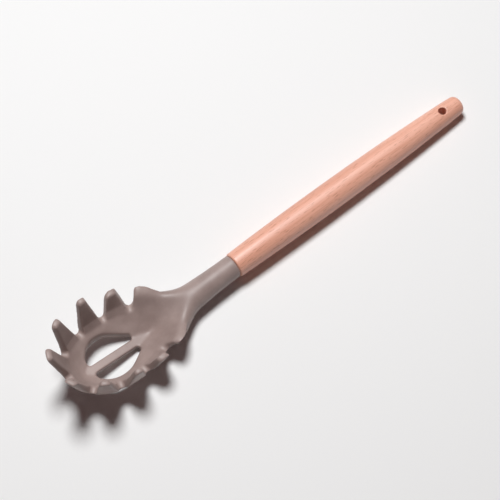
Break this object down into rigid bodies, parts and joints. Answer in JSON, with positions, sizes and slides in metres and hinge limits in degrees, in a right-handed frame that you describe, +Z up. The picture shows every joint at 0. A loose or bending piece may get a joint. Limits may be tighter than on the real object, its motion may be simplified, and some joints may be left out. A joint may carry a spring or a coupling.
{
  "type": "pasta server",
  "caption": "Pasta server: a pronged silicone bowl with a slotted floor over a nylon core, on a turned beech handle with a hanging hole.",
  "frame": {"origin": "centre line of the small flat on the heel of the bowl, where the head rests on the table", "axes": "+X runs back along the handle to its end, +Y is square to the plane of symmetry, +Z is up, towards the open side of the bowl"},
  "size_m": [0.334, 0.0674, 0.0495],
  "materials": {
    "silicone": "satin",
    "nylon": "matte",
    "beech": "satin, lightly oiled"
  },
  "bodies": {
    "root": {"silicone_head": "silicone", "nylon_core": "nylon", "beech_handle": "beech"}
  },
  "joints": []
}
